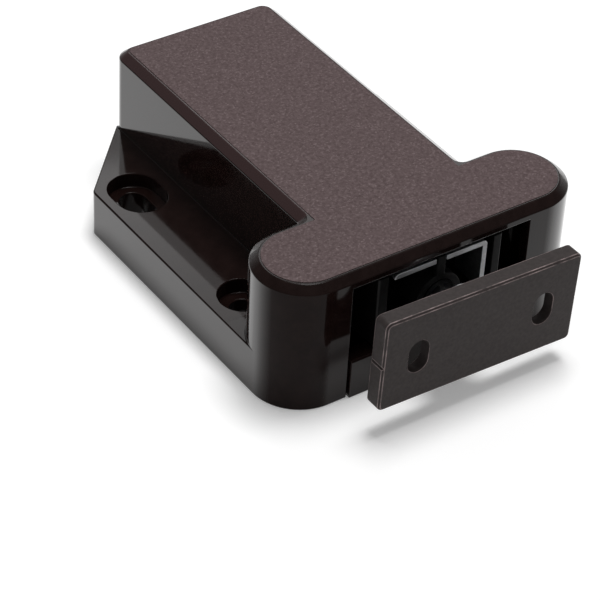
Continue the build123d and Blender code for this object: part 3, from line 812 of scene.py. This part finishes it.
def solid_boxes(node: str, weld: float = 0.0001) -> list[tuple[Vector, Vector]]:
    """Measures each separate solid of a node.

    Args:
        node: the node's name.
        weld: how far apart points may be and still be one, in millimetres.

    Returns:
        The lowest and highest corner of each solid, in metres.
    """
    work = bmesh.new()
    work.from_mesh(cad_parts[node].data)
    bmesh.ops.remove_doubles(work, verts=work.verts, dist=weld * MM)
    left = set(work.verts)
    boxes = []
    for first in work.verts:
        if first not in left:
            continue
        left.remove(first)
        front = [first]
        low, high = first.co.copy(), first.co.copy()
        while front:
            vertex = front.pop()
            low = Vector(map(min, low, vertex.co))
            high = Vector(map(max, high, vertex.co))
            near = {edge.other_vert(vertex) for edge in vertex.link_edges} & left
            left -= near
            front += near
        boxes.append((low, high))
    work.free()
    return boxes


@dataclass(frozen=True)
class Thread:
    """The thread round the shanks of one node's screws, which are all alike.

    It is a ridge of wire, half sunk in the shank, that stops short of the head and the tip by
    end_gap. Its mesh has so many steps in a turn and so many sides round the wire.
    """

    node: str
    body: Body
    shank: float
    pitch: float
    head: float
    axis: Axis = Axis.UP
    head_at_top: bool = False
    ridge: float = 0.085
    end_gap: float = 0.35
    steps: int = 20
    sides: int = 4

    def build(self, palette: Palette, windings: WindingTree) -> None:
        """Winds a ridge round each shank, from under the head to near the tip.

        Args:
            palette: the materials.
            windings: the tree that winds it.
        """
        run = 2 if self.axis is Axis.UP else 1
        before = self.end_gap if self.head_at_top else self.head + self.end_gap
        boxes = solid_boxes(self.node)
        starts = []
        for low, high in boxes:
            start = (low + high) / 2
            start[run] = low[run] + before * MM
            starts.append(start)
        low, high = boxes[0]
        length = high[run] - low[run] - (self.head + 2 * self.end_gap) * MM
        piece = windings.wind(
            self.node + "_thread", starts, Turns=length / (self.pitch * MM), Radius=self.shank / 2 * MM,
            Length=length, Wire=self.ridge * MM, Steps=self.steps, Sides=self.sides,
            Tilt=self.axis.value, Finish=palette.materials[Slot.ZINC],
        )
        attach(piece, self.body.value)


@dataclass(frozen=True)
class DriveSpring:
    """The round-wire coil that pushes the plunger out.

    In the catch it shortens by the plunger's travel towards its rear seat, at seat_y; travel and seat_y
    are not used. Its mesh has so many steps in a turn and so many sides round the wire.
    """

    wire: float = 1.2
    turns: float = 9.0
    travel: float = 6.5
    seat_y: float = 68.6
    steps: int = 48
    sides: int = 14

    def build(self, palette: Palette, windings: WindingTree) -> None:
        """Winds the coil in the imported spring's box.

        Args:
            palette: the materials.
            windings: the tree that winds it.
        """
        low, high = (Vector(corner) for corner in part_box("drive_spring"))
        start = (low + high) / 2
        start.y = low.y + self.wire / 2 * MM
        length = high.y - low.y
        radius = (high.z - low.z - self.wire * MM) / 2
        piece = windings.wind(
            "drive_spring_coil", [start], Turns=self.turns, Radius=radius,
            Length=length - self.wire * MM, Wire=self.wire / 2 * MM, Steps=self.steps, Sides=self.sides,
            Tilt=Axis.BACK.value, Finish=palette.materials[Slot.SPRING],
        )
        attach(piece, Body.HOUSING.value)
        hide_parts("drive_spring")
        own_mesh(piece)


# ------------------------------------------------------------------ sub-assemblies
@dataclass
class RoundedHousing(Softened):
    """The housing with the stem's two rear corners rounded further above the flanges.

    In plan, a corner's arcs have their centres a little in from the stem's side and rear: the
    wall's at wall_centre, the raised panel's at panel_centre, and both at rounder_centre after
    the move. It applies over the level above, and the panel lies over rim_level.
    """

    half_width: float = 16.3
    rear: float = 75.1
    above: float = 8.82
    rim_level: float = 24.5
    wall_centre: float = 2.0
    panel_centre: float = 2.925
    rounder_centre: float = 3.1
    slack: float = 0.002
    level_slack: float = 0.005
    cut_slack: float = 0.001

    def from_corner(self, vertex: bmesh.types.BMVert) -> tuple[float, float]:
        """Returns how far a vertex lies inside the stem's side and its rear, in millimetres."""
        return self.half_width - abs(vertex.co.x / MM), self.rear - vertex.co.y / MM

    def cut_corner_walls(self, work: bmesh.types.BMesh) -> None:
        """Cuts the two corner walls just over the flanges, so that only what is above moves.

        Args:
            work: the copy's mesh.
        """
        reach = self.wall_centre + self.slack
        walls = [
            face for face in work.faces
            if all(max(self.from_corner(vertex)) < reach for vertex in face.verts)
        ]
        edges = dict.fromkeys(edge for face in walls for edge in face.edges)
        corners = dict.fromkeys(vertex for face in walls for vertex in face.verts)
        bmesh.ops.bisect_plane(
            work, geom=[*walls, *edges, *corners], dist=self.cut_slack * MM,
            plane_co=(0.0, 0.0, self.above * MM), plane_no=(0.0, 0.0, 1.0),
        )

    def centres(self, z: float) -> tuple[float, ...]:
        """Returns how far in the centres of the corner's arcs are at a height, in millimetres."""
        return (self.wall_centre,) if z < self.rim_level else (self.wall_centre, self.panel_centre)

    def on_corner(self, arm: Vector) -> bool:
        """Returns whether an arm from an arc's centre reaches a point of the corner."""
        return min(arm) >= -self.slack and self.slack < arm.length <= self.wall_centre + self.slack

    def reshape(self, work: bmesh.types.BMesh) -> None:
        """Moves the corner arcs' points in to the rounder corner, wall and panel apart.

        Args:
            work: the copy's mesh.
        """
        self.cut_corner_walls(work)
        for vertex in work.verts:
            x, _, z = vertex.co / MM
            if z < self.above - self.level_slack:
                continue
            across, along = self.from_corner(vertex)
            for centre in self.centres(z):
                arm = Vector((centre - across, centre - along))
                if not self.on_corner(arm):
                    continue
                arm = arm.normalized() * (arm.length + self.rounder_centre - centre)
                side = math.copysign(self.half_width - self.rounder_centre + arm.x, x)
                vertex.co.x, vertex.co.y = side * MM, (self.rear - self.rounder_centre + arm.y) * MM
                break


@dataclass
class Shell:
    """The moulded housing and its base cover."""

    housing_edge: float = 0.16
    cover_edge: float = 0.12
    screw_edge: float = 0.2

    def build(self, palette: Palette, windings: WindingTree) -> None:
        """Builds both mouldings and the screws that join them.

        Args:
            palette: the materials.
            windings: the tree that winds the threads.
        """
        RoundedHousing("housing", Slot.HOUSING, Body.HOUSING, self.housing_edge).build(palette)
        Softened("base_cover", Slot.HOUSING, Body.HOUSING, self.cover_edge).build(palette)
        Softened("cover_screws", Slot.ZINC, Body.HOUSING, self.screw_edge, SCREW_SEGMENTS).build(palette)
        Thread("cover_screws", Body.HOUSING, shank=2.2, pitch=0.9, head=1.3).build(palette, windings)


@dataclass
class PlungerGroup:
    """The carriage, its steel channel, the nose and the strike plate."""

    carriage_edge: float = 0.12
    channel_edge: float = 0.08
    plate_edge: float = 0.09
    turned_edge: float = 0.08
    screw_edge: float = 0.12

    def build(self, palette: Palette, windings: WindingTree) -> None:
        """Builds what travels with the plunger.

        Args:
            palette: the materials.
            windings: the tree that winds the threads.
        """
        Softened("carriage", Slot.CARRIAGE, Body.PLUNGER, self.carriage_edge).build(palette)
        Softened("head_channel", Slot.ZINC, Body.PLUNGER, self.channel_edge).build(palette)
        # the strike plate's bevels carry the painted edge highlight
        Softened(
            "strike_plate", Slot.STRIKE, Body.PLUNGER, self.plate_edge, segments=1, edge_highlight=True
        ).build(palette)
        for node in ("magnet_cup", "front_spring_washer"):
            Softened(node, Slot.ZINC, Body.PLUNGER, self.turned_edge).build(palette)
        rod = Softened("plunger_rod", Slot.ZINC, Body.PLUNGER, self.turned_edge).build(palette)
        rod.data.materials[0] = palette.polished_steel
        for node in ("magnet_screw", "cam_screws"):
            Softened(node, Slot.ZINC, Body.PLUNGER, self.screw_edge, SCREW_SEGMENTS).build(palette)
        for thread in (
            Thread("magnet_screw", Body.PLUNGER, shank=2.5, pitch=0.9, head=1.8, axis=Axis.BACK),
            Thread("cam_screws", Body.PLUNGER, shank=1.6, pitch=0.7, head=0.9),
        ):
            thread.build(palette, windings)
        dress_node(palette, "rod_pin", Slot.ZINC)
        dress_node(palette, "ring_magnet", Slot.MAGNET)
        dress_node(palette, "cam_plate", Slot.CAM)


@dataclass
class InnerParts:
    """What stays with the housing inside, and the swinging follower."""

    screw_edge: float = 0.12

    def build(self, palette: Palette, windings: WindingTree) -> None:
        """Builds the coil and gives the other inner solids their finishes.

        Args:
            palette: the materials.
            windings: the tree that winds the coil and the thread.
        """
        DriveSpring().build(palette, windings)
        leaf_screw = "follower_spring_screw"
        Softened(leaf_screw, Slot.ZINC, Body.HOUSING, self.screw_edge, SCREW_SEGMENTS).build(palette)
        Thread(
            leaf_screw, Body.HOUSING, shank=2.2, pitch=0.9, head=1.3, head_at_top=True
        ).build(palette, windings)
        for node in ("spring_rod", "rear_spring_washer"):
            dress_node(palette, node, Slot.ZINC)
        for node in ("follower_spring", "cam_follower"):
            dress_node(palette, node, Slot.SPRING)
        for node in ("left_stop_buffer", "right_stop_buffer"):
            dress_node(palette, node, Slot.RUBBER)


# ------------------------------------------------------------------ studio
@dataclass(frozen=True)
class Softbox:
    """An area light that points at the catch; lengths in millimetres, power in watts."""

    name: str
    place: tuple[float, float, float]
    width: float
    height: float
    power: float
    target: tuple[float, float, float] = (0.0, 30.0, 12.0)

    def build(self) -> None:
        """Adds the light to the scene."""
        data = bpy.data.lights.new(self.name, "AREA")
        data.shape = "RECTANGLE"
        data.size = self.width * MM
        data.size_y = self.height * MM
        data.energy = self.power
        lamp = bpy.data.objects.new(self.name, data)
        lamp.location = Vector(self.place) * MM
        aim = Vector(self.target) * MM - lamp.location
        lamp.rotation_euler = aim.to_track_quat("-Z", "Y").to_euler()
        bpy.context.scene.collection.objects.link(lamp)


@dataclass
class Studio:
    """The pale floor, the plain soft lights and the camera.

    Angles are in degrees and lengths in millimetres.
    """

    azimuth: float = -36.4208
    elevation: float = 38.4534
    roll: float = 3.3094
    lens: float = 154.8
    clip_start: float = 10.0
    eye: tuple[float, float, float] = (-212.77, -250.47, 271.62)
    world_strength: float = 0.325
    floor_size: float = 6000.0
    floor_drop: float = 0.03
    floor_albedo: float = 0.9
    floor_roughness: float = 0.9
    floor_specular: float = 0.1
    floor_lift: float = 0.21
    lights: tuple[Softbox, ...] = (
        Softbox("overhead_softbox", (125.0, 80.0, 890.0), width=340.0, height=340.0, power=5.35),
        Softbox("back_softbox", (440.0, 780.0, 800.0), width=620.0, height=300.0, power=1.55),
    )

    def camera(self) -> None:
        """Places the camera at the viewing angle and makes it the scene's camera."""
        turn = math.radians(self.azimuth)
        rise = math.radians(self.elevation)
        lean = math.radians(self.roll)
        outwards = Vector((math.sin(turn), -math.cos(turn), 0.0))
        back = math.cos(rise) * outwards + Vector((0.0, 0.0, math.sin(rise)))
        level_right = Vector((math.cos(turn), math.sin(turn), 0.0))
        level_up = back.cross(level_right)
        right = math.cos(lean) * level_right + math.sin(lean) * level_up
        up = back.cross(right)
        data = bpy.data.cameras.new("view")
        data.lens = self.lens
        data.clip_start = self.clip_start * MM
        camera = bpy.data.objects.new("view", data)
        turned = Matrix((right, up, back)).transposed().to_4x4()
        camera.matrix_world = Matrix.Translation(Vector(self.eye) * MM) @ turned
        bpy.context.scene.collection.objects.link(camera)
        bpy.context.scene.camera = camera

    def floor(self) -> None:
        """Makes the pale floor, which shows white where no shadow falls.

        It shines a little where it is seen, and lights nothing by that.
        """
        mesh = bpy.data.meshes.new("floor")
        half = self.floor_size / 2 * MM
        z = -self.floor_drop * MM
        corners = [(-half, -half, z), (half, -half, z), (half, half, z), (-half, half, z)]
        mesh.from_pydata(corners, [], [(0, 1, 2, 3)])
        floor = link("floor", mesh)
        material, tree, shader = blank_material("pale_floor")
        shader.inputs["Base Color"].default_value = (self.floor_albedo,) * 3 + (1.0,)
        shader.inputs["Roughness"].default_value = self.floor_roughness
        shader.inputs["Specular IOR Level"].default_value = self.floor_specular
        path = tree.nodes.new("ShaderNodeLightPath")
        seen = maths(tree, "MAXIMUM", path.outputs["Is Camera Ray"], path.outputs["Is Glossy Ray"])
        seen = maths(tree, "MAXIMUM", seen, path.outputs["Is Transmission Ray"])
        lift = maths(tree, "MULTIPLY", seen, self.floor_lift)
        shader.inputs["Emission Color"].default_value = (1.0, 1.0, 1.0, 1.0)
        tree.links.new(lift, shader.inputs["Emission Strength"])
        mesh.materials.append(material)

    def world(self) -> None:
        """Lights the scene evenly from all round."""
        world = bpy.data.worlds.new("room")
        world.use_nodes = True
        background = world.node_tree.nodes["Background"]
        background.inputs["Color"].default_value = (1.0, 1.0, 1.0, 1.0)
        background.inputs["Strength"].default_value = self.world_strength
        bpy.context.scene.world = world

    def build(self) -> None:
        """Builds the whole studio."""
        self.camera()
        self.floor()
        self.world()
        for light in self.lights:
            light.build()
        bpy.context.scene.view_settings.view_transform = "Standard"


def main() -> None:
    """Builds the catch and its studio."""
    logging.basicConfig(level=logging.INFO, format="%(name)s: %(message)s")
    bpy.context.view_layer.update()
    Studio().build()
    palette = Palette()
    windings = WindingTree()
    for assembly in (Shell(), PlungerGroup(), InnerParts()):
        assembly.build(palette, windings)
        LOG.info("%s is built", type(assembly).__name__)


if __name__ == "__main__":
    main()
